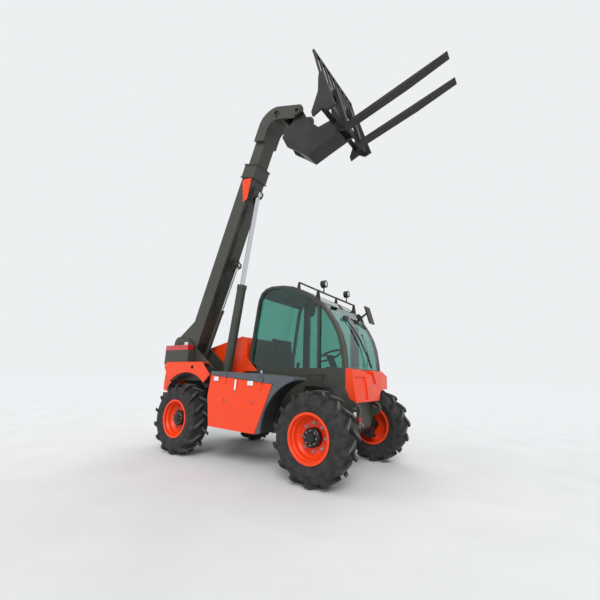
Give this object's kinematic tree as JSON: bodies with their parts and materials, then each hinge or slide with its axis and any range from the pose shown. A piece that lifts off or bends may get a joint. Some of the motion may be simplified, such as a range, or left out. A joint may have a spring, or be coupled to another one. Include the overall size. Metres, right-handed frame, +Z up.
{
  "type": "telehandler",
  "caption": "Compact telehandler with a raised telescopic boom, pallet forks, side cab, hinged bonnet side, steered wheels with lugged tyres and pivoting cylinders.",
  "frame": {"origin": "on the ground under the middle of the machine's box", "axes": "+X forward, +Y to the machine's left, +Z up"},
  "size_m": [4.5082, 1.96, 5.1051],
  "materials": {
    "orange_paint": "satin orange paint",
    "orange_panel": "satin orange moulded panel",
    "olive_paint": "satin dark olive grey paint",
    "black_paint": "satin black paint",
    "grey_plastic": "textured blue-grey plastic",
    "black_plastic": "textured black plastic",
    "cast_metal": "painted casting",
    "chrome_rod": "hard chrome",
    "tyre_rubber": "black rubber",
    "window": "green tinted glass",
    "seat_cover": "woven cover over foam",
    "red_plastic": "red moulded plastic",
    "red_lens": "red lens",
    "fork_steel": "worn black paint",
    "hose_rubber": "rubber hose"
  },
  "bodies": {
    "chassis": {"main_frame": "olive_paint", "boom_tower": "olive_paint", "lift_foot": "olive_paint", "axles": "black_paint", "counterweight": "cast_metal", "rear_hood": "orange_panel", "rear_fenders": "orange_panel", "lamp_box_right": "olive_paint", "tail_lamp_right": "red_lens", "bonnet_box": "black_paint", "bonnet_fender": "grey_plastic", "bonnet_rail": "grey_plastic", "engine": "cast_metal", "cab_frame": "olive_paint", "cab_tub": "olive_paint", "cab_glass": "window", "windshield": "window", "seat_cushion": "seat_cover", "seat_back": "seat_cover", "seat_base": "black_plastic", "steering_column": "black_plastic", "dashboard": "black_plastic", "nose": "orange_panel", "work_lamps": "black_plastic", "mirrors": "black_plastic", "front_plate": "olive_paint", "front_knob": "red_plastic", "tail_block": "orange_paint", "rear_arch_liners": "black_plastic", "fuel_tank": "black_plastic", "cab_step": "black_paint"},
    "boom": {"boom_outer": "olive_paint", "boom_hoses": "hose_rubber"},
    "boom_extension": {"boom_inner": "olive_paint"},
    "levelling_pin": {"level_pin": "cast_metal"},
    "fork_carriage": {"carriage": "black_paint", "forks": "fork_steel"},
    "lift_cylinder_barrel": {"lift_barrel": "olive_paint"},
    "lift_cylinder_rod": {"lift_rod": "chrome_rod"},
    "levelling_cylinder_barrel": {"comp_barrel": "olive_paint"},
    "levelling_cylinder_rod": {"comp_rod": "chrome_rod"},
    "cab_door": {"door": "olive_paint", "door_glass": "window"},
    "bonnet_side": {"side_cover": "orange_panel"},
    "knuckle_front_right": {"knuckle_front_right": "black_paint"},
    "wheel_front_right": {"tyre_front_right": "tyre_rubber", "rim_front_right": "orange_paint", "hub_front_right": "black_paint"},
    "knuckle_front_left": {"knuckle_front_left": "black_paint"},
    "wheel_front_left": {"tyre_front_left": "tyre_rubber", "rim_front_left": "orange_paint", "hub_front_left": "black_paint"},
    "knuckle_rear_right": {"knuckle_rear_right": "black_paint"},
    "wheel_rear_right": {"tyre_rear_right": "tyre_rubber", "rim_rear_right": "orange_paint", "hub_rear_right": "black_paint"},
    "knuckle_rear_left": {"knuckle_rear_left": "black_paint"},
    "wheel_rear_left": {"tyre_rear_left": "tyre_rubber", "rim_rear_left": "orange_paint", "hub_rear_left": "black_paint"}
  },
  "joints": [
    {"name": "boom_lift", "type": "hinge", "parent": "chassis", "child": "boom", "pos_m": [-1.9, -0.46, 1.5], "axis": [0, -1, 0], "range_deg": [-65, 2]},
    {"name": "boom_telescope", "type": "slide", "parent": "boom", "child": "boom_extension", "axis": [0.3502, 0, 0.9367], "range_m": [-0.36, 0.45]},
    {"name": "carriage_levelling", "type": "hinge", "parent": "boom_extension", "child": "levelling_pin", "pos_m": [0.26105, -0.46, 4.72438], "axis": [0, -1, 0], "range_deg": [-2, 65]},
    {"name": "carriage_tilt", "type": "hinge", "parent": "levelling_pin", "child": "fork_carriage", "pos_m": [0.26105, -0.46, 4.72438], "axis": [0, 1, 0], "range_deg": [-12, 35]},
    {"name": "lift_cylinder_pivot", "type": "hinge", "parent": "chassis", "child": "lift_cylinder_barrel", "pos_m": [-0.983, -0.46, 0.75], "axis": [0, -1, 0], "range_deg": [-66.23, 2.04]},
    {"name": "lift_cylinder_stroke", "type": "slide", "parent": "lift_cylinder_barrel", "child": "lift_cylinder_rod", "axis": [0.1471, 0, 0.9891], "range_m": [-1.27208, 0.03914]},
    {"name": "levelling_cylinder_pivot", "type": "hinge", "parent": "chassis", "child": "levelling_cylinder_barrel", "pos_m": [-1.6005, -0.402, 1.036], "axis": [0, -1, 0], "range_deg": [-63.69, 1.96]},
    {"name": "levelling_cylinder_stroke", "type": "slide", "parent": "levelling_cylinder_barrel", "child": "levelling_cylinder_rod", "axis": [0.3754, 0, 0.9269], "range_m": [-0.59254, 0.01823]},
    {"name": "cab_door_hinge", "type": "hinge", "parent": "chassis", "child": "cab_door", "pos_m": [-0.42, 0.784, 1.385], "axis": [0, 0, 1], "range_deg": [0, 95]},
    {"name": "bonnet_side_hinge", "type": "hinge", "parent": "chassis", "child": "bonnet_side", "pos_m": [-0.282, -0.857, 0.9985], "axis": [-0.9966, 0, 0.0821], "range_deg": [0, 75]},
    {"name": "steer_front_right", "type": "hinge", "parent": "chassis", "child": "knuckle_front_right", "pos_m": [0.74, -0.62, 0.457], "axis": [0, 0, 1], "range_deg": [-30, 30]},
    {"name": "wheel_spin_front_right", "type": "hinge", "parent": "knuckle_front_right", "child": "wheel_front_right", "pos_m": [0.74, -0.7525, 0.457], "axis": [0, 1, 0], "continuous": true},
    {"name": "steer_front_left", "type": "hinge", "parent": "chassis", "child": "knuckle_front_left", "pos_m": [0.74, 0.62, 0.457], "axis": [0, 0, 1], "range_deg": [-30, 30]},
    {"name": "wheel_spin_front_left", "type": "hinge", "parent": "knuckle_front_left", "child": "wheel_front_left", "pos_m": [0.74, 0.7525, 0.457], "axis": [0, 1, 0], "continuous": true},
    {"name": "steer_rear_right", "type": "hinge", "parent": "chassis", "child": "knuckle_rear_right", "pos_m": [-1.44, -0.62, 0.457], "axis": [0, 0, 1], "range_deg": [-30, 30]},
    {"name": "wheel_spin_rear_right", "type": "hinge", "parent": "knuckle_rear_right", "child": "wheel_rear_right", "pos_m": [-1.44, -0.7525, 0.457], "axis": [0, 1, 0], "continuous": true},
    {"name": "steer_rear_left", "type": "hinge", "parent": "chassis", "child": "knuckle_rear_left", "pos_m": [-1.44, 0.62, 0.457], "axis": [0, 0, 1], "range_deg": [-30, 30]},
    {"name": "wheel_spin_rear_left", "type": "hinge", "parent": "knuckle_rear_left", "child": "wheel_rear_left", "pos_m": [-1.44, 0.7525, 0.457], "axis": [0, 1, 0], "continuous": true}
  ],
  "couplings": [
    {"joint": "carriage_levelling", "follows": "boom_lift", "ratio": -1},
    {"joint": "lift_cylinder_pivot", "follows": "boom_lift", "ratio": 1.0189},
    {"joint": "lift_cylinder_stroke", "follows": "boom_lift", "m_per_rad": 1.1213},
    {"joint": "levelling_cylinder_pivot", "follows": "boom_lift", "ratio": 0.97983},
    {"joint": "levelling_cylinder_stroke", "follows": "boom_lift", "m_per_rad": 0.52231},
    {"joint": "steer_front_left", "follows": "steer_front_right", "ratio": 1},
    {"joint": "steer_rear_right", "follows": "steer_front_right", "ratio": -1},
    {"joint": "steer_rear_left", "follows": "steer_front_right", "ratio": -1}
  ]
}
